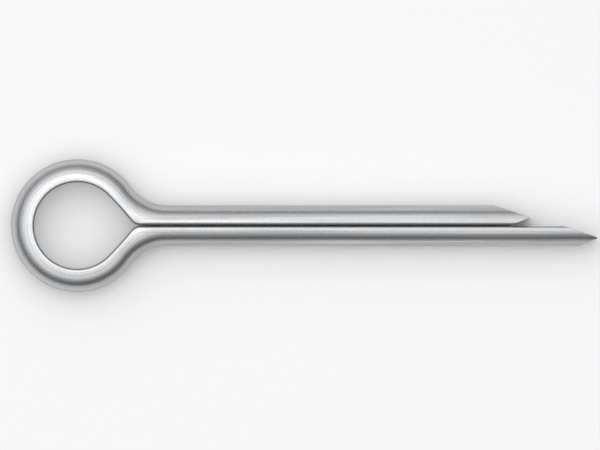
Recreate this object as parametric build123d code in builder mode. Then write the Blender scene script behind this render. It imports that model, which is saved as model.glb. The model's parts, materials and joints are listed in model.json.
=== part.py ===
from build123d import *

import os
from math import atan2, degrees, sqrt

# A cotter pin: one length of half-round wire, folded into a round eye with two straight legs.
#
# The flat of the wire lies inwards. It lines the eye, and along the split the flats of the two legs face
# each other, so that the legs together make one round shank. Both legs end in a point of two bevels, and
# one leg is longer than the other, so that a blade can be set on it to part them.
#
# The origin is the centre of the eye. +X runs along the shank to the points, +Y lies in the plane of the
# eye, towards the short leg, and +Z is up, square to the eye. The pin lies flat. Lengths are millimetres.

# Shank
shank_diameter = 5.85
split_gap = 0.2  # between the flats of the two legs
pin_length = 55.9  # from the shoulder under the eye to the point of the short leg
long_leg_excess = 9.85  # how far the long leg's point reaches past the short leg's

# Eye
eye_outside_diameter = 19.1
eye_wire_thickness = 3.35  # from the flat of the wire to its round back
eye_side_angle = 44.5  # degrees from the +X axis to where the eye's round wall flattens towards the throat
throat_depth = 2.02  # from the eye's round wall to where its flatter sides would meet the split
throat_radius = 1.7  # on each flat, where it turns out of the split
neck_radius = 6.4  # hollow curve on the outside, between the eye and the shank

# Wire
wire_edge_radius = 0.4  # between the flat and the round back

# Points
long_bevel = 5.1  # length along the leg of the bevel on the +Y side
short_bevel = 2.7  # length along the leg of the bevel on the -Y side
ridge_depth_share = 0.605  # where the two meet, as a share of the leg's depth from its +Y side
ridge_width = 0.16  # the blunt edge that the shears leave between them

cut_overrun = 1.0  # how far every cut runs past the metal

# The round back of the wire is the skin of a bar of the shank's diameter. The middle of that bar runs
# along the shank, turns outwards on the neck's arc and goes round the eye.
bar_radius = shank_diameter / 2
bow_radius = eye_outside_diameter / 2 - bar_radius
neck_arc_radius = neck_radius + bar_radius
neck_x = sqrt((bow_radius + neck_arc_radius) ** 2 - neck_arc_radius**2)
neck_angle = degrees(atan2(neck_arc_radius, neck_x))

shoulder_x = sqrt((eye_outside_diameter / 2) ** 2 - bar_radius**2)
short_leg_reach = shoulder_x + pin_length
long_leg_reach = short_leg_reach + long_leg_excess
bar_end_x = long_leg_reach + cut_overrun
waste_end_x = bar_end_x + cut_overrun
waste_edge_y = bar_radius + cut_overrun

# The flat runs along the split, turns on the throat's radius and bows gently out to the eye's round wall.
flat_y = split_gap / 2
eye_inside_radius = eye_outside_diameter / 2 - eye_wire_thickness
throat_x = eye_inside_radius + throat_depth

# The middle of each point's ridge lies this deep below the leg's +Y side. The bevels run back from the
# ridge by these lengths for each millimetre up or down.
ridge_depth = ridge_depth_share * bar_radius
long_bevel_run = long_bevel / (ridge_depth - ridge_width / 2)
short_bevel_run = short_bevel / (bar_radius - ridge_depth - ridge_width / 2)

with BuildPart() as cotter_pin:
    # Half of the bar: one leg, its neck and its half of the eye
    with BuildLine():
        bow = CenterArc((0, 0), bow_radius, 180, neck_angle - 180)
        neck = TangentArc(bow @ 1, (neck_x, 0), tangent=bow % 1)
        Line(neck @ 1, (bar_end_x, 0))
    with BuildSketch(Plane(bow @ 0, z_dir=bow % 0)):
        Circle(bar_radius)
    sweep()

    # The flat, all along it
    with BuildSketch() as inside:
        with BuildLine():
            wall = CenterArc((0, 0), eye_inside_radius, 180, eye_side_angle - 180)
            side = TangentArc(wall @ 1, (throat_x, flat_y), tangent=wall % 1)
            Polyline(
                side @ 1,
                (waste_end_x, flat_y),
                (waste_end_x, -waste_edge_y),
                (0, -waste_edge_y),
                (0, 0),
                wall @ 0,
            )
        make_face()
        fillet(inside.vertices().sort_by_distance(side @ 1)[0], throat_radius)
    extrude(amount=waste_edge_y, both=True, mode=Mode.SUBTRACT)

    # The wire's rounded edges, above and below the flat
    wire_edges = cotter_pin.edges().filter_by(lambda edge: abs(edge.center().Z) > bar_radius / 2)
    fillet(wire_edges, wire_edge_radius)

    # The other leg and half of the eye
    mirror(about=Plane.XZ)

    # The points: two bevels that meet in a ridge across the wire. The cut on each leg stops in the split.
    for reach, leg_top_y, cut_top_y, cut_bottom_y in (
        (short_leg_reach, bar_radius, waste_edge_y, 0),
        (long_leg_reach, 0, 0, -waste_edge_y),
    ):
        ridge_top_y = leg_top_y - ridge_depth + ridge_width / 2
        ridge_bottom_y = ridge_top_y - ridge_width
        with BuildSketch():
            with BuildLine():
                Polyline(
                    (waste_end_x, cut_top_y),
                    (reach - long_bevel_run * (cut_top_y - ridge_top_y), cut_top_y),
                    (reach, ridge_top_y),
                    (reach, ridge_bottom_y),
                    (reach - short_bevel_run * (ridge_bottom_y - cut_bottom_y), cut_bottom_y),
                    (waste_end_x, cut_bottom_y),
                    close=True,
                )
            make_face()
        extrude(amount=waste_edge_y, both=True, mode=Mode.SUBTRACT)

cotter_pin.part.label = "cotter_pin"

os.makedirs("parts", exist_ok=True)
export_step(cotter_pin.part, "parts/cotter_pin.step")
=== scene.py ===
import json
from collections import namedtuple
from math import atan2, cos, pi, radians, sin, sqrt

import bpy
import numpy as np
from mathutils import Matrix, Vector


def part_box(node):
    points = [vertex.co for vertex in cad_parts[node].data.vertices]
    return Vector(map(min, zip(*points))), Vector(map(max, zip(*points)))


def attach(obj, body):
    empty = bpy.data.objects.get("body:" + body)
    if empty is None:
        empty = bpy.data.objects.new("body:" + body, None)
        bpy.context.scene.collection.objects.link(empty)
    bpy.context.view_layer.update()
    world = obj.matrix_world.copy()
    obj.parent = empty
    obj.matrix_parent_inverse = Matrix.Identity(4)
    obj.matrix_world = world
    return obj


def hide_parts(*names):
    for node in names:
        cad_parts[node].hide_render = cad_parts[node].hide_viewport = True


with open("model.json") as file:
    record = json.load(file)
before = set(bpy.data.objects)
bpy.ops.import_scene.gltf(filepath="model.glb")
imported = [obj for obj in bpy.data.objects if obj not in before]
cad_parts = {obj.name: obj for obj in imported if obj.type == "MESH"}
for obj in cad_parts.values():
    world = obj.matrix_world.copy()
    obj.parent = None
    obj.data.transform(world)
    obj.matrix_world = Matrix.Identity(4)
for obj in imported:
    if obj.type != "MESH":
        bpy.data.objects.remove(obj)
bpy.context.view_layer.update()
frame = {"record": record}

bl_info = {
    "name": "Cotter Pin",
    "version": (1, 0, 0),
    "blender": (4, 5, 0),
    "location": "View3D > Sidebar > Cotter Pin",
    "description": "Folds half-round wire into a cotter pin and lays it on a pale floor",
    "category": "Object",
}

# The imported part. Its mounts are in millimetres, and everything else is in metres.
MM = 0.001
NODE = "cotter_pin"
BODY = "root"
node_low, node_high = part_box(NODE)
mount_sizes = {mount["name"]: mount["dims"] for mount in frame["record"]["mounts"]}
SHANK_RADIUS = mount_sizes["shank"]["r_mm"] * MM
EYE_INSIDE_RADIUS = mount_sizes["eye"]["r_mm"] * MM

# The photograph: its frame, and where the pin lies in it
PHOTO_WIDTH_PX = 600
PHOTO_HEIGHT_PX = 450
EYE_CENTRE_PX = (77.35, 225.55)
SHANK_WIDTH_PX = 40.67

# How finely the wire is divided round itself, in columns: across the flat, round each edge, over the back
FLAT_STEPS = 16
EDGE_STEPS = 8
BACK_STEPS = 92
COLUMNS = FLAT_STEPS + 2 * EDGE_STEPS + BACK_STEPS
FLAT_SHARES = np.linspace(-1, 1, FLAT_STEPS + 1)
EDGE_SHARES = np.linspace(0, 1, EDGE_STEPS + 1)[1:]
BACK_SHARES = np.linspace(1, -1, BACK_STEPS + 1)[1:-1]

# And along itself, in rows: half of the eye, a neck, and a leg, where they lie closer towards its point
RING_STEPS = 96
NECK_STEPS = 64
LEG_STEPS = 28
LEG_SHARES = 1 - np.linspace(1, 0, LEG_STEPS + 1)[1:] ** 2

# The rim of a point in shares of its radius: a quarter turn, and a border row on the point's face
RIM_STEPS = 5
RIM_BORDER_SHARE = 1.4
RIM_TURNS = np.linspace(0, pi / 2, RIM_STEPS + 1)[1:]
RIM_INSET_SHARES = np.append(1 - np.cos(RIM_TURNS), RIM_BORDER_SHARE)
RIM_LAG_SHARES = np.append(1 - np.sin(RIM_TURNS), 0)
RIM_RUN_SHARES = np.append(RIM_TURNS, pi / 2 + RIM_BORDER_SHARE - 1)
LEG_ROWS = LEG_STEPS + len(RIM_RUN_SHARES)

# Levels of a point's face, from the flat to just short of the middle of the back
LEVELS = EDGE_STEPS + BACK_STEPS // 2

# The map laid out for a bake of the finish, and the room between its pieces
BAKE_MAP = "OFBake"
BAKE_MARGIN = 0.8 * MM

# Fractal noise: how rough it is, how often it is refined, and between which values nearly all of it lies
NOISE_ROUGHNESS = 0.6
COARSE_DETAIL = 1.0
FINE_DETAIL = 3.0
NOISE_LOW = 0.4
NOISE_HIGH = 0.6

# Sockets of the mix node, which only their numbers tell apart
MIX_WEIGHT = 0
MIX_FIRST_VALUE = 2
MIX_SECOND_VALUE = 3
MIX_FIRST_COLOUR = 6
MIX_SECOND_COLOUR = 7
MIXED_VALUE = 0
MIXED_COLOUR = 2


def length(name, description, default):
    """A length in metres, as a property."""
    return bpy.props.FloatProperty(
        name=name,
        description=description,
        default=default,
        min=0.0,
        precision=6,
        unit="LENGTH",
        subtype="DISTANCE",
    )


def share(name, description, default):
    """A share from zero to one, as a property."""
    return bpy.props.FloatProperty(
        name=name, description=description, default=default, min=0.0, max=1.0, subtype="FACTOR"
    )


def colour(name, description, default):
    """A linear colour, as a property."""
    return bpy.props.FloatVectorProperty(
        name=name, description=description, default=default, min=0.0, max=1.0, size=3, subtype="COLOR"
    )


def angle(name, description, default):
    """An angle in radians, as a property."""
    return bpy.props.FloatProperty(
        name=name, description=description, default=default, unit="ROTATION", subtype="ANGLE"
    )


def power(name, description, default):
    """A lamp's power in watts, as a property."""
    return bpy.props.FloatProperty(
        name=name, description=description, default=default, min=0.0, unit="POWER", subtype="POWER"
    )


def brightness(name, description, default):
    """How strong the light from the sky is, as a property."""
    return bpy.props.FloatProperty(name=name, description=description, default=default, min=0.0)


class WireSizes(bpy.types.PropertyGroup):
    """Sizes of the wire, its eye, its legs and their points"""

    shank_radius: length("Shank radius", "Radius of the round shank that both legs make", SHANK_RADIUS)
    split_gap: length("Split", "Gap between the flats of the legs", 0.2 * MM)
    edge_radius: length("Wire edge", "Rounding between the flat and the back", 0.4 * MM)
    eye_outside_radius: length("Eye, outside", "Outside radius of the eye", 9.55 * MM)
    eye_inside_radius: length("Eye, inside", "Inside radius of the eye", EYE_INSIDE_RADIUS)
    eye_side_angle: angle("Eye side", "From +X to where the eye's round wall flattens", radians(44.5))
    throat_depth: length("Throat depth", "From the round wall to where a side meets the split", 2.02 * MM)
    throat_radius: length("Throat", "Radius on each flat where it turns out of the split", 1.7 * MM)
    neck_radius: length("Neck", "Radius of the hollow between the eye and the shank", 6.4 * MM)
    long_leg_reach: length("Long leg", "From the middle of the eye to the long leg's ridge", node_high.x)
    long_leg_excess: length("Excess", "How far the long leg reaches past the short one", 9.85 * MM)
    long_bevel: length("Long bevel", "Length of the bevel on the +Y side of a point", 5.1 * MM)
    short_bevel: length("Short bevel", "Length of the bevel on the -Y side of a point", 2.7 * MM)
    ridge_depth_share: share("Ridge depth", "Where the bevels meet, from the +Y side of a leg", 0.605)
    ridge_width: length("Ridge width", "Blunt edge between the bevels", 0.16 * MM)
    ridge_softness: length("Ridge softness", "Rounding of the blunt edge's corners", 0.05 * MM)
    rim_radius: length("Rim", "Rounding of the rim of a point", 0.1 * MM)
    wear_width: length("Wear", "How far wear reaches from an edge", 0.45 * MM)


class PlatedFinish(bpy.types.PropertyGroup):
    """Zinc on the drawn wire, with the marks that the die, the bend and wear have left"""

    zinc_colour: colour("Zinc", "Bright zinc plating", (0.6, 0.615, 0.635))
    zinc_shade: colour("Zinc, scored", "Zinc in the draw lines", (0.43, 0.445, 0.465))
    zinc_tint: colour("Zinc, tinted", "Zinc where its clear coat is thicker", (0.615, 0.61, 0.6))
    zinc_grazing: colour("Zinc, grazing", "Zinc seen at a grazing angle", (0.8, 0.8, 0.81))
    steel_colour: colour("Steel", "Steel where the zinc is rubbed thin", (0.36, 0.36, 0.36))
    zinc_roughness: share("Zinc roughness", "Between the draw lines", 0.26)
    score_roughness: share("Score roughness", "In the draw lines", 0.42)
    steel_roughness: share("Steel roughness", "Where the zinc is rubbed thin", 0.3)
    line_length: length("Line length", "Of a draw line", 22 * MM)
    line_width: length("Line width", "Of a draw line", 0.16 * MM)
    line_depth: length("Line depth", "Of a draw line", 0.02 * MM)
    line_relief: share("Line relief", "How clearly the draw lines stand out", 0.4)
    band_length: length("Band length", "Of a broad band from the die", 30 * MM)
    band_width: length("Band width", "Of a broad band from the die", 0.9 * MM)
    band_weight: share("Bands", "Share of the bands in the scoring", 0.35)
    mottle_width: length("Mottle width", "Of a spot of the mottle", 0.3 * MM)
    mottle_depth: length("Mottle depth", "Of a spot of the mottle", 0.03 * MM)
    mottle_weight: share("Mottle", "Share of the mottle in the scoring", 0.2)
    eye_relief: share("Eye relief", "How clearly the mottle stands out where the wire is bent", 0.3)
    leg_relief: share("Leg relief", "How clearly the mottle stands out on the legs", 0.1)
    tint_width: length("Tint width", "Of a patch of thicker clear coat", 7 * MM)
    rub_scatter: share("Rub scatter", "How far the scoring breaks up the rubbed edges", 0.35)
    rub_start: share("Rub start", "Wear at which the zinc starts to thin", 0.45)
    rub_end: share("Rub end", "Wear at which the zinc is thinnest", 0.85)
    rub_most: share("Rub", "Share of steel where the zinc is thinnest", 0.4)


class ShearedFinish(bpy.types.PropertyGroup):
    """Zinc on the sheared faces of the points"""

    clean_colour: colour("Clean cut", "Zinc where the shears cut cleanly", (0.6, 0.61, 0.62))
    torn_colour: colour("Torn", "Zinc in the hollows of the cut", (0.46, 0.465, 0.47))
    clean_roughness: share("Clean roughness", "Where the shears cut cleanly", 0.34)
    torn_roughness: share("Torn roughness", "In the hollows of the cut", 0.55)
    line_length: length("Line length", "Of a line that the shears leave", 6 * MM)
    line_width: length("Line width", "Of a line that the shears leave", 0.2 * MM)
    grain_width: length("Grain width", "Of a grain of torn metal", 0.15 * MM)
    relief_depth: length("Relief depth", "Of the lines and the grain", 0.05 * MM)
    relief: share("Relief", "How clearly the lines and the grain stand out", 0.6)
    tear_start: length("Tear start", "How far behind the ridge the metal is torn most", 0.1 * MM)
    tear_end: length("Tear end", "How far behind the ridge the metal is torn least", 0.9 * MM)
    tear_most: share("Most torn", "Share of grain next to the ridge", 0.8)
    tear_least: share("Least torn", "Share of grain on the rest of the bevels", 0.15)


class StageSettings(bpy.types.PropertyGroup):
    """The floor, the light and the camera"""

    floor_colour: colour("Floor", "Pale floor", (0.93, 0.93, 0.93))
    floor_roughness: share("Floor roughness", "Of the floor", 0.9)
    floor_gloss: share("Floor gloss", "Specular level of the floor", 0.1)
    floor_size: length("Floor size", "Side of the square floor", 4.0)
    glow_strength: brightness("Glow", "Light from the bright part of the sky", 1.3)
    low_strength: brightness("Low sky", "Light from the sky near the horizon", 0.1)
    glow_tilt: angle("Glow tilt", "Of the middle of the glow, from straight above", 0.2)
    glow_turn: angle("Glow turn", "Of the middle of the glow, from +X towards +Y", radians(120))
    glow_core: angle("Glow core", "From its middle to where the glow starts to fade", radians(41))
    glow_reach: angle("Glow reach", "From its middle to where the glow has faded", radians(72.5))
    softbox_size: length("Softbox size", "Side of the square softbox", 0.35)
    softbox_distance: length("Softbox distance", "From the eye to the softbox", 0.6)
    softbox_power: power("Softbox power", "Of the softbox", 0.32)
    camera_height: length("Camera height", "Above the eye", 0.4)


BarLine = namedtuple("BarLine", "bow_radius neck_radius neck_middle neck_angle ring_end neck_end")
FlatLine = namedtuple("FlatLine", "split_y side_middle side_radius throat_middle")
Leg = namedtuple("Leg", "side reach top")
Rows = namedtuple("Rows", "places runs")
Wire = namedtuple("Wire", "places drawn wears setbacks skin_quads face_quads face_tris layout")


def bar_line(sizes):
    """The middle of the bar whose skin is the wire's round back, worked out from the sizes.

    It goes round the eye on the bow, turns on the neck's arc, whose middle is level with the neck's end,
    and runs straight along the shank. The ends of the ring and the neck are ways along it, counted from
    the far side of the eye.
    """
    bow_radius = sizes.eye_outside_radius - sizes.shank_radius
    neck_radius = sizes.neck_radius + sizes.shank_radius
    neck_x = sqrt((bow_radius + neck_radius) ** 2 - neck_radius**2)
    neck_angle = atan2(neck_radius, neck_x)
    neck_middle = np.array([neck_x, neck_radius])
    ring_end = (pi - neck_angle) * bow_radius
    neck_end = ring_end + (pi / 2 - neck_angle) * neck_radius
    return BarLine(bow_radius, neck_radius, neck_middle, neck_angle, ring_end, neck_end)


def flat_line(sizes):
    """The line of the flat, worked out from the sizes.

    A side of the eye is an arc that touches the round wall at the side angle, so its middle lies on that
    angle's ray, behind the eye's middle. The point where it ends on the split gives how far: the square
    of that point's distance less that of the inside radius, over twice the inside radius less the
    point's part along the ray. The throat's arc touches the side from outside, and the split.
    """
    split_y = sizes.split_gap / 2
    side_end = np.array([sizes.eye_inside_radius + sizes.throat_depth, split_y])
    touch_ray = np.array([cos(sizes.eye_side_angle), sin(sizes.eye_side_angle)])
    squares_apart = side_end @ side_end - sizes.eye_inside_radius**2
    side_offset = squares_apart / (2 * (sizes.eye_inside_radius - side_end @ touch_ray))
    side_radius = sizes.eye_inside_radius + side_offset
    side_middle = -side_offset * touch_ray
    throat_y = split_y + sizes.throat_radius
    throat_way = sqrt((side_radius + sizes.throat_radius) ** 2 - (throat_y - side_middle[1]) ** 2)
    return FlatLine(split_y, side_middle, side_radius, np.array([side_middle[0] + throat_way, throat_y]))


def pin_legs(sizes):
    """The short leg and the long one: side of the split, reach of the ridge, height of the +Y side."""
    short_leg_reach = sizes.long_leg_reach - sizes.long_leg_excess
    return Leg(1, short_leg_reach, sizes.shank_radius), Leg(-1, sizes.long_leg_reach, 0.0)


def wire_section(flat, radius, corner):
    """Outline of the wire, one row for each flat, as distances out from the bar's middle and up from it.

    The flat is a straight run. Each rounded edge is an arc that touches the flat and the back, so its
    middle lies one corner radius from both. The back is an arc about the bar's middle between the edges.
    """
    centre_out = flat + corner
    centre_up = np.sqrt((radius - corner) ** 2 - centre_out**2)
    turn = np.arctan2(centre_up, centre_out)
    flat_up = centre_up * FLAT_SHARES
    edge_angle = pi + (turn - pi) * EDGE_SHARES
    edge_out = centre_out + corner * np.cos(edge_angle)
    edge_up = centre_up + corner * np.sin(edge_angle)
    back_angle = turn * BACK_SHARES
    out = [np.broadcast_to(flat, flat_up.shape), edge_out, radius * np.cos(back_angle), edge_out[:, ::-1]]
    up = [flat_up, edge_up, radius * np.sin(back_angle), -edge_up[:, ::-1]]
    return np.hstack(out), np.hstack(up)


def rays(angles):
    """Rays of length one at these angles from +X towards +Y."""
    return np.stack([np.cos(angles), np.sin(angles)], axis=1)


def way_to_arc(ray, middle, radius, face):
    """How far along each ray a circle lies, on its near face (-1) or its far one (1): the smaller or the
    larger root of the quadratic for a ray and a circle.
    """
    abreast = ray @ middle
    return abreast + face * np.sqrt(np.maximum(abreast**2 - middle @ middle + radius**2, 0))


def eye_wall(sizes, flat, angles):
    """How far the flat lies from the eye's middle at these angles: the inside radius, and below the side
    angle the way to the far face of the side's arc.
    """
    to_side = way_to_arc(rays(angles), flat.side_middle, flat.side_radius, 1)
    return np.where(angles > sizes.eye_side_angle, sizes.eye_inside_radius, to_side)


def throat_wall(sizes, flat, middle, angles):
    """How far the flat lies from the middle of the neck's arc at these angles.

    A ray meets the near face of the side's arc, then the far face of the throat's, then the split, and
    the points where the throat's arc touches the other two part the three. The way to the split is its
    distance over the ray's part towards it.
    """
    ray = rays(angles)
    side = flat.side_middle - middle
    throat = flat.throat_middle - middle
    to_side = way_to_arc(ray, side, flat.side_radius, -1)
    to_throat = way_to_arc(ray, throat, sizes.throat_radius, 1)
    to_split = (flat.split_y - middle[1]) / ray[:, 1]

    radius_share = sizes.throat_radius / (flat.side_radius + sizes.throat_radius)
    side_touch = throat + (side - throat) * radius_share
    split_touch = throat - (0, sizes.throat_radius)
    on_side = angles < 2 * pi + atan2(side_touch[1], side_touch[0])
    on_split = angles > 2 * pi + atan2(split_touch[1], split_touch[0])
    return np.select([on_side, on_split], [to_side, to_split], to_throat)


def bend_rows(sizes, line, flat):
    """Half of the eye and its neck: the wire's outline carried along the bow and the neck's arc, from the
    far side of the eye to the start of the leg. Outwards is away from the bow's middle, towards the neck's.
    """
    neck_start = pi + line.neck_angle
    ring = np.linspace(pi, line.neck_angle, RING_STEPS + 1)
    neck = np.linspace(neck_start, 1.5 * pi, NECK_STEPS + 1)[1:]
    ring_flat = eye_wall(sizes, flat, ring) - line.bow_radius
    neck_flat = line.neck_radius - throat_wall(sizes, flat, line.neck_middle, neck)
    out, up = wire_section(np.append(ring_flat, neck_flat)[:, None], sizes.shank_radius, sizes.edge_radius)

    middle = np.vstack([line.bow_radius * rays(ring), line.neck_middle + line.neck_radius * rays(neck)])
    outward = np.vstack([rays(ring), -rays(neck)])
    x = middle[:, :1] + out * outward[:, :1]
    y = middle[:, 1:] + out * outward[:, 1:]

    ring_run = (pi - ring) * line.bow_radius
    neck_run = line.ring_end + (neck - neck_start) * line.neck_radius
    runs = np.broadcast_to(np.append(ring_run, neck_run)[:, None], out.shape)
    return Rows(np.stack([x, y, up], axis=2), runs)


def setback(sizes, depth):
    """How far a point's end lies behind its ridge, by depth below the +Y side of its leg.

    Nothing on the blunt ridge, and from each of its edges a straight slope. Each slope is softened where
    it starts, as half of the sum of a line and the hyperbola that has it for an asymptote.
    """
    over_depth = sizes.ridge_depth_share * sizes.shank_radius - sizes.ridge_width / 2
    under_depth = sizes.shank_radius - sizes.ridge_width - over_depth
    over = (over_depth - depth) / over_depth * sizes.long_bevel
    under = (depth - over_depth - sizes.ridge_width) / under_depth * sizes.short_bevel
    return sum((slope + np.hypot(slope, sizes.ridge_softness)) / 2 for slope in (over, under))


def leg_rows(sizes, line, flat, leg):
    """One leg's skin from its neck to the rounded rim of its point: the outline carried along the shank.

    Every column runs from the neck to its own end, which the point's setback gives, and the rows divide
    it by the same shares. On the rim, a quarter turn, the outline shrinks by the rim's radius while the
    column runs its last rim's radius. The border row shrinks a little further, on the point's face.
    """
    shares = np.append(LEG_SHARES, np.ones_like(RIM_RUN_SHARES))[:, None]
    inset = sizes.rim_radius * np.append(np.zeros(LEG_STEPS), RIM_INSET_SHARES)[:, None]
    lag = sizes.rim_radius * np.append(np.ones(LEG_STEPS), RIM_LAG_SHARES)[:, None]
    out, up = wire_section(flat.split_y + inset, sizes.shank_radius - inset, sizes.edge_radius - inset)
    y = leg.side * out
    start = line.neck_middle[0]
    way = leg.reach - setback(sizes, leg.top - y) - lag - start
    x = start + shares * way
    straight_runs = line.neck_end + (shares * way)[:LEG_STEPS]
    rim_runs = straight_runs[-1] + sizes.rim_radius * RIM_RUN_SHARES[:, None]
    return Rows(np.stack([x, y, up], axis=2), np.vstack([straight_runs, rim_runs]))


def wire_rows(sizes, line, flat, legs):
    """The whole wire, from the short leg's point round the eye to the long leg's point: the short leg and
    its half of the eye end for end, that half mirrored, and the long leg. Runs count from the far side.
    """
    half_bend = bend_rows(sizes, line, flat)
    short_leg, long_leg = (leg_rows(sizes, line, flat, leg) for leg in legs)
    mirrored = half_bend.places[1:] * (1, -1, 1)
    places = [short_leg.places[::-1], half_bend.places[::-1], mirrored, long_leg.places]
    runs = [-short_leg.runs[::-1], -half_bend.runs[::-1], half_bend.runs[1:], long_leg.runs]
    return Rows(np.concatenate(places), np.concatenate(runs))


def edge_wear(sizes, runs, around):
    """How worn the skin is, from zero to one: a bell of the distance from the nearest edge, which is the
    middle of one of the wire's rounded edges or the rim of a point.
    """
    half_edge = EDGE_STEPS // 2
    apart = np.abs(around[:-1, None] - around[[FLAT_STEPS + half_edge, COLUMNS - half_edge]])
    from_edge = np.minimum(apart, around[-1] - apart).min(axis=1)
    from_rim = np.minimum(runs - runs[0], runs[-1] - runs)
    return np.exp(-((np.minimum(from_edge, from_rim) / sizes.wear_width) ** 2))


def grid_cells(rows, columns):
    """The four corners of every cell of a grid, as numbers counted row by row."""
    numbers = np.arange(rows * columns).reshape(rows, columns)
    corners = [numbers[:-1, :-1], numbers[:-1, 1:], numbers[1:, 1:], numbers[1:, :-1]]
    return np.stack(corners, axis=2).reshape(-1, 4)


def skin_layout(runs, around):
    """Where the skin lies on the bake's map, in metres: three strips above each other, the short leg, the
    eye and the long leg, each unrolled with the way along the wire to the right and round it upwards.
    """
    rows = len(runs)
    right = np.hstack([runs, runs[:, :1]])
    above = np.broadcast_to(around, right.shape)
    cells = grid_cells(rows, COLUMNS + 1)
    strip_starts = [0, LEG_ROWS, rows - 1 - LEG_ROWS]
    strips = np.searchsorted(strip_starts, cells[:, 0] // (COLUMNS + 1), side="right") - 1
    left = right[strip_starts].min(axis=1)[strips][:, None]
    bottom = strips[:, None] * (around[-1] + BAKE_MARGIN)
    corners = [right.ravel()[cells] - left, above.ravel()[cells] + bottom]
    return np.stack(corners, axis=2) + BAKE_MARGIN


def face_numbers(rim, first):
    """Numbers of a point's face as a grid of levels that run straight across the wire. On its border they
    are those of the rim: the flat, and a column on each side for every level. Inside they count on.
    """
    levels = np.arange(1, LEVELS)
    numbers = np.empty((LEVELS, FLAT_STEPS + 1), int)
    numbers[0] = rim[:FLAT_STEPS + 1]
    numbers[1:, 0] = rim[COLUMNS - levels]
    numbers[1:, -1] = rim[FLAT_STEPS + levels]
    inside = numbers[1:, 1:-1]
    inside[:] = first + np.arange(inside.size).reshape(inside.shape)
    return numbers


def face_inside(sizes, leg, rim):
    """Places inside a point's face: each level at the height of its columns of the rim, and divided as
    the flat is. The setback gives how far it lies behind the ridge.
    """
    level = rim[FLAT_STEPS + 1:FLAT_STEPS + LEVELS]
    z = level[:, 2:] * FLAT_SHARES[1:-1]
    y = np.broadcast_to(level[:, 1:2], z.shape)
    x = leg.reach - setback(sizes, leg.top - y)
    return np.stack([x, y, z], axis=2).reshape(-1, 3)


def face_layout(face, apex, left, bottom):
    """A point's face and its apex on the bake's map, in metres: the way over the bevels to the right."""
    middle = np.vstack([face[:, FLAT_STEPS // 2], apex])
    way = np.append(0, np.cumsum(np.linalg.norm(np.diff(middle, axis=0), axis=1)))
    level = bottom + np.abs(face[..., 2]).max()
    right = np.broadcast_to(left + way[:-1, None], face.shape[:2])
    return np.stack([right, level + face[..., 2]], axis=2), np.array([left + way[-1], level])


def fan(border, apex):
    """Triangles from a border to an apex: the start of each of its steps, the end of it, and the apex."""
    return np.stack([border[:-1], border[1:], np.broadcast_to(apex, border[1:].shape)], axis=1)


def folded_wire(sizes, line):
    """The whole wire as one closed surface: its skin, a grid of rows along it and columns round it,
    closed on the first column, and on each end a point's face of levels, with a fan to its apex, the
    middle of the back.
    """
    legs = pin_legs(sizes)
    flat = flat_line(sizes)
    rows = wire_rows(sizes, line, flat, legs)
    out, up = wire_section(np.array([[flat.split_y]]), sizes.shank_radius, sizes.edge_radius)
    steps = np.hypot(np.roll(out, -1) - out, np.roll(up, -1) - up)
    around = np.append(0, np.cumsum(steps))
    drawn = np.stack(np.broadcast_arrays(rows.runs, out, up), axis=2)
    numbers = np.arange(rows.runs.size).reshape(rows.runs.shape)
    closed = np.hstack([numbers, numbers[:, :1]])
    skin_quads = closed.ravel()[grid_cells(*closed.shape)]

    skin = skin_layout(rows.runs, around)
    quad_layouts, tri_layouts = [skin], []
    face_quads, face_tris = [], []
    places = rows.places.reshape(-1, 3)
    left = BAKE_MARGIN
    bottom = skin[..., 1].max() + BAKE_MARGIN
    for leg, end in zip(legs, (0, -1)):
        table = face_numbers(numbers[end], len(places))
        places = np.vstack([places, face_inside(sizes, leg, rows.places[end])])
        apex = numbers[end, FLAT_STEPS + LEVELS]
        face, tip = face_layout(places[table], places[apex], left, bottom)
        left = tip[0] + BAKE_MARGIN
        outwards = slice(None, None, -leg.side)
        cells = grid_cells(*table.shape)[:, outwards]
        face_quads.append(table.ravel()[cells])
        face_tris.append(fan(table[-1], apex)[:, outwards])
        quad_layouts.append(face.reshape(-1, 2)[cells])
        tri_layouts.append(fan(face[-1], tip)[:, outwards])

    layout = np.concatenate([corners.reshape(-1, 2) for corners in quad_layouts + tri_layouts])
    inside = len(places) - rows.runs.size
    ridges = np.where(places[:, 1] > 0, legs[0].reach, legs[1].reach)
    return Wire(
        places=places,
        drawn=np.vstack([drawn.reshape(-1, 3), np.zeros((inside, 3))]),
        wears=np.append(edge_wear(sizes, rows.runs, around), np.zeros(inside)),
        setbacks=ridges - places[:, 0],
        skin_quads=skin_quads,
        face_quads=np.vstack(face_quads),
        face_tris=np.vstack(face_tris),
        layout=layout / (layout.max() + BAKE_MARGIN),
    )


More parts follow.
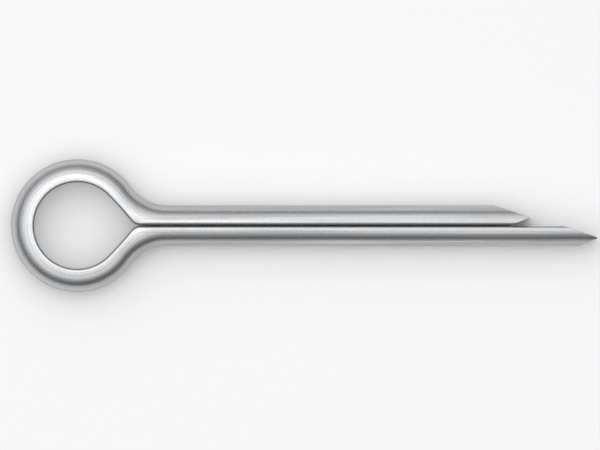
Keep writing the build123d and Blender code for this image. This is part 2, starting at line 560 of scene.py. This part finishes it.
def wire_mesh(name, wire):
    """A mesh of the wire's skin and faces, with its bake's map and what its finishes read."""
    quads = np.vstack([wire.skin_quads, wire.face_quads])
    corners = np.append(quads.ravel(), wire.face_tris.ravel())
    sides = np.repeat([quads.shape[1], wire.face_tris.shape[1]], [len(quads), len(wire.face_tris)])
    sheared = np.arange(len(sides)) >= len(wire.skin_quads)
    mesh = bpy.data.meshes.new(name)
    mesh.vertices.add(len(wire.places))
    mesh.loops.add(len(corners))
    mesh.polygons.add(len(sides))
    mesh.vertices.foreach_set("co", wire.places.ravel())
    mesh.loops.foreach_set("vertex_index", corners)
    mesh.polygons.foreach_set("loop_start", np.cumsum(sides) - sides)
    mesh.polygons.foreach_set("material_index", sheared.astype(int))
    mesh.uv_layers.new(name=BAKE_MAP).data.foreach_set("uv", wire.layout.ravel())
    mesh.update(calc_edges=True)
    if mesh.validate():
        raise RuntimeError("the wire's mesh has faces that don't hold")
    mesh.shade_smooth()
    for reading, kind, field, values in (
        ("drawn_wire", "FLOAT_VECTOR", "vector", wire.drawn),
        ("edge_wear", "FLOAT", "value", wire.wears),
        ("ridge_setback", "FLOAT", "value", wire.setbacks),
    ):
        mesh.attributes.new(reading, kind, "POINT").data.foreach_set(field, values.ravel())
    return mesh


def add_node(tree, kind, inputs, **settings):
    """Adds a node, sets its own settings, and links or sets each of the inputs given."""
    node = tree.nodes.new(kind)
    for name, value in settings.items():
        setattr(node, name, value)
    for name, value in inputs.items():
        if isinstance(value, bpy.types.NodeSocket):
            tree.links.new(value, node.inputs[name])
        else:
            node.inputs[name].default_value = value
    return node


def attribute(tree, name, output):
    """What the mesh holds under this name."""
    return add_node(tree, "ShaderNodeAttribute", {}, attribute_name=name).outputs[output]


def noise(tree, vector, widths, detail):
    """A fractal noise, from zero to one, of patches that are this wide along each axis of the vector."""
    counts = {"Vector": vector, "Scale": [1 / width for width in widths]}
    counted = add_node(tree, "ShaderNodeMapping", counts).outputs["Vector"]
    inputs = {"Vector": counted, "Scale": 1.0, "Detail": detail, "Roughness": NOISE_ROUGHNESS}
    return add_node(tree, "ShaderNodeTexNoise", inputs).outputs["Fac"]


def ranged(tree, value, start, end, low, high):
    """A value that goes from low to high while the one given goes from start to end, and stays there."""
    inputs = {"Value": value, "From Min": start, "From Max": end, "To Min": low, "To Max": high}
    return add_node(tree, "ShaderNodeMapRange", inputs).outputs["Result"]


def graded(tree, pattern, low, high):
    """A value that goes from low in the hollows of a noise to high on its crests."""
    return ranged(tree, pattern, NOISE_LOW, NOISE_HIGH, low, high)


def weighed(tree, first, second, weight):
    """The first value and the second, as a mean with this weight on the second."""
    inputs = {MIX_WEIGHT: weight, MIX_FIRST_VALUE: first, MIX_SECOND_VALUE: second}
    return add_node(tree, "ShaderNodeMix", inputs).outputs[MIXED_VALUE]


def blended(tree, first, second, weight):
    """The first colour and the second, with this weight on the second. The first may be a socket."""
    if not isinstance(first, bpy.types.NodeSocket):
        first = (*first, 1.0)
    inputs = {MIX_WEIGHT: weight, MIX_FIRST_COLOUR: first, MIX_SECOND_COLOUR: (*second, 1.0)}
    return add_node(tree, "ShaderNodeMix", inputs, data_type="RGBA").outputs[MIXED_COLOUR]


def raised(tree, height, depth, relief, **below):
    """A bump of this depth in metres, over the normal of another one if it is given."""
    inputs = {"Height": height, "Distance": depth, "Strength": relief, **below}
    return add_node(tree, "ShaderNodeBump", inputs).outputs["Normal"]


def new_metal(name, grazing):
    """A material of bare metal, its node tree and its shader's inputs."""
    material = bpy.data.materials.new(name)
    material.use_nodes = True
    inputs = material.node_tree.nodes["Principled BSDF"].inputs
    inputs["Metallic"].default_value = 1.0
    inputs["Specular Tint"].default_value = (*grazing, 1.0)
    return material, material.node_tree, inputs


def plated_wire(plating, ring_end, neck_end):
    """Bright zinc on drawn wire: lines and bands along it from the die, a fine mottle that the bend has
    opened on the eye, a faint drift of tint, and steel showing through on the edges.
    """
    material, tree, inputs = new_metal("plated_wire", plating.zinc_grazing)
    wire = attribute(tree, "drawn_wire", "Vector")
    place = add_node(tree, "ShaderNodeTexCoord", {}).outputs["Object"]
    line_sizes = (plating.line_length, plating.line_width, plating.line_width)
    band_sizes = (plating.band_length, plating.band_width, plating.band_width)
    lines = noise(tree, wire, line_sizes, FINE_DETAIL)
    bands = noise(tree, wire, band_sizes, COARSE_DETAIL)
    mottle = noise(tree, place, [plating.mottle_width] * 3, FINE_DETAIL)
    drift = noise(tree, place, [plating.tint_width] * 3, COARSE_DETAIL)

    scored = weighed(tree, weighed(tree, lines, bands, plating.band_weight), mottle, plating.mottle_weight)
    tinted = blended(tree, plating.zinc_colour, plating.zinc_tint, graded(tree, drift, 0.0, 1.0))
    shaded = blended(tree, tinted, plating.zinc_shade, graded(tree, scored, 1.0, 0.0))
    lustre = graded(tree, scored, plating.score_roughness, plating.zinc_roughness)

    wear = weighed(tree, attribute(tree, "edge_wear", "Fac"), scored, plating.rub_scatter)
    rubbed = ranged(tree, wear, plating.rub_start, plating.rub_end, 0.0, plating.rub_most)
    tree.links.new(blended(tree, shaded, plating.steel_colour, rubbed), inputs["Base Color"])
    tree.links.new(weighed(tree, lustre, plating.steel_roughness, rubbed), inputs["Roughness"])

    along = add_node(tree, "ShaderNodeSeparateXYZ", {"Vector": wire}).outputs["X"]
    run = add_node(tree, "ShaderNodeMath", {0: along}, operation="ABSOLUTE").outputs[0]
    opened = ranged(tree, run, ring_end, neck_end, plating.eye_relief, plating.leg_relief)
    line_normal = raised(tree, lines, plating.line_depth, plating.line_relief)
    normal = raised(tree, mottle, plating.mottle_depth, opened, Normal=line_normal)
    tree.links.new(normal, inputs["Normal"])
    return material


def sheared_metal(shear, plating):
    """Zinc on sheared steel: lines that the shears leave, and torn, duller grain next to the ridge."""
    material, tree, inputs = new_metal("sheared_metal", plating.zinc_grazing)
    place = add_node(tree, "ShaderNodeTexCoord", {}).outputs["Object"]
    lines = noise(tree, place, (shear.line_length, shear.line_length, shear.line_width), FINE_DETAIL)
    grain = noise(tree, place, [shear.grain_width] * 3, FINE_DETAIL)
    behind = attribute(tree, "ridge_setback", "Fac")
    torn = ranged(tree, behind, shear.tear_start, shear.tear_end, shear.tear_most, shear.tear_least)
    cut = weighed(tree, lines, grain, torn)
    clean = graded(tree, cut, 0.0, 1.0)
    tree.links.new(blended(tree, shear.torn_colour, shear.clean_colour, clean), inputs["Base Color"])
    tree.links.new(graded(tree, cut, shear.torn_roughness, shear.clean_roughness), inputs["Roughness"])
    tree.links.new(raised(tree, cut, shear.relief_depth, shear.relief), inputs["Normal"])
    return material


def lay_floor(scene, stage):
    """A square floor at the pin's lowest level."""
    square = np.array([(-1, -1, 0), (1, -1, 0), (1, 1, 0), (-1, 1, 0)])
    mesh = bpy.data.meshes.new("floor")
    mesh.from_pydata(square * stage.floor_size / 2 + (0, 0, node_low.z), [], [range(len(square))])
    material = bpy.data.materials.new("floor")
    material.use_nodes = True
    inputs = material.node_tree.nodes["Principled BSDF"].inputs
    inputs["Base Color"].default_value = (*stage.floor_colour, 1.0)
    inputs["Roughness"].default_value = stage.floor_roughness
    inputs["Specular IOR Level"].default_value = stage.floor_gloss
    mesh.materials.append(material)
    floor = bpy.data.objects.new("floor", mesh)
    scene.collection.objects.link(floor)


def light_sky(scene, stage, towards):
    """A white sky that glows round one direction, in full up to one angle and faded at a wider one."""
    world = bpy.data.worlds.new("sky")
    world.use_nodes = True
    tree = world.node_tree
    direction = add_node(tree, "ShaderNodeTexCoord", {}).outputs["Generated"]
    inputs = {0: direction, 1: towards}
    nearness = add_node(tree, "ShaderNodeVectorMath", inputs, operation="DOT_PRODUCT").outputs["Value"]
    faded, full = cos(stage.glow_reach), cos(stage.glow_core)
    level = ranged(tree, nearness, faded, full, stage.low_strength, stage.glow_strength)
    background = tree.nodes["Background"]
    background.inputs["Color"].default_value = (1.0, 1.0, 1.0, 1.0)
    tree.links.new(level, background.inputs["Strength"])
    scene.world = world


def hang_softbox(scene, stage, towards):
    """A square softbox in the direction given, facing the eye."""
    lamp = bpy.data.lights.new("softbox", "AREA")
    lamp.shape = "SQUARE"
    lamp.size = stage.softbox_size
    lamp.energy = stage.softbox_power
    softbox = bpy.data.objects.new("softbox", lamp)
    softbox.location = towards * stage.softbox_distance
    softbox.rotation_euler = towards.to_track_quat("Z", "Y").to_euler()
    scene.collection.objects.link(softbox)


def aim_camera(scene, stage, sizes):
    """A camera straight above the pin, with no perspective, framed as the photograph is: the shank's
    width gives the scale and the eye's middle gives the place.
    """
    metres_per_px = 2 * sizes.shank_radius / SHANK_WIDTH_PX
    lens = bpy.data.cameras.new("camera")
    lens.type = "ORTHO"
    lens.ortho_scale = PHOTO_WIDTH_PX * metres_per_px
    camera = bpy.data.objects.new("camera", lens)
    camera.location = (
        (PHOTO_WIDTH_PX / 2 - EYE_CENTRE_PX[0]) * metres_per_px,
        (EYE_CENTRE_PX[1] - PHOTO_HEIGHT_PX / 2) * metres_per_px,
        stage.camera_height,
    )
    scene.collection.objects.link(camera)
    scene.camera = camera


class COTTERPIN_OT_wire(bpy.types.Operator):
    """Folds the wire into the pin and plates it"""

    bl_idname = "cotter_pin.wire"
    bl_label = "Fold the wire"

    def execute(self, context):
        scene = context.scene
        line = bar_line(scene.cotter_pin_sizes)
        mesh = wire_mesh("pin_wire", folded_wire(scene.cotter_pin_sizes, line))
        mesh.materials.append(plated_wire(scene.cotter_pin_plating, line.ring_end, line.neck_end))
        mesh.materials.append(sheared_metal(scene.cotter_pin_shear, scene.cotter_pin_plating))
        pin = bpy.data.objects.new("pin_wire", mesh)
        scene.collection.objects.link(pin)
        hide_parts(NODE)
        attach(pin, BODY)
        return {"FINISHED"}


class COTTERPIN_OT_stage(bpy.types.Operator):
    """Lays the floor under the pin, lights it and sets the camera over it"""

    bl_idname = "cotter_pin.stage"
    bl_label = "Set the stage"

    def execute(self, context):
        scene = context.scene
        stage = scene.cotter_pin_stage
        aside, up = sin(stage.glow_tilt), cos(stage.glow_tilt)
        towards = Vector((aside * cos(stage.glow_turn), aside * sin(stage.glow_turn), up))
        lay_floor(scene, stage)
        light_sky(scene, stage, towards)
        hang_softbox(scene, stage, towards)
        aim_camera(scene, stage, scene.cotter_pin_sizes)
        scene.view_settings.view_transform = "Standard"
        return {"FINISHED"}


class COTTERPIN_PT_panel(bpy.types.Panel):
    """The pin's sizes, its finishes and its stage"""

    bl_idname = "COTTERPIN_PT_panel"
    bl_label = "Cotter Pin"
    bl_space_type = "VIEW_3D"
    bl_region_type = "UI"
    bl_category = "Cotter Pin"

    def draw(self, context):
        scene = context.scene
        wire_groups = (scene.cotter_pin_sizes, scene.cotter_pin_plating, scene.cotter_pin_shear)
        stage_groups = (scene.cotter_pin_stage,)
        for groups, operator in ((wire_groups, COTTERPIN_OT_wire), (stage_groups, COTTERPIN_OT_stage)):
            for group in groups:
                box = self.layout.box()
                for name in group.__annotations__:
                    box.prop(group, name)
            self.layout.operator(operator.bl_idname)


CLASSES = (
    WireSizes,
    PlatedFinish,
    ShearedFinish,
    StageSettings,
    COTTERPIN_OT_wire,
    COTTERPIN_OT_stage,
    COTTERPIN_PT_panel,
)


def register():
    for entry in CLASSES:
        bpy.utils.register_class(entry)
    bpy.types.Scene.cotter_pin_sizes = bpy.props.PointerProperty(type=WireSizes)
    bpy.types.Scene.cotter_pin_plating = bpy.props.PointerProperty(type=PlatedFinish)
    bpy.types.Scene.cotter_pin_shear = bpy.props.PointerProperty(type=ShearedFinish)
    bpy.types.Scene.cotter_pin_stage = bpy.props.PointerProperty(type=StageSettings)


def unregister():
    del bpy.types.Scene.cotter_pin_stage
    del bpy.types.Scene.cotter_pin_shear
    del bpy.types.Scene.cotter_pin_plating
    del bpy.types.Scene.cotter_pin_sizes
    for entry in reversed(CLASSES):
        bpy.utils.unregister_class(entry)


def main():
    register()
    bpy.ops.cotter_pin.wire()
    bpy.ops.cotter_pin.stage()


if __name__ == "__main__":
    main()
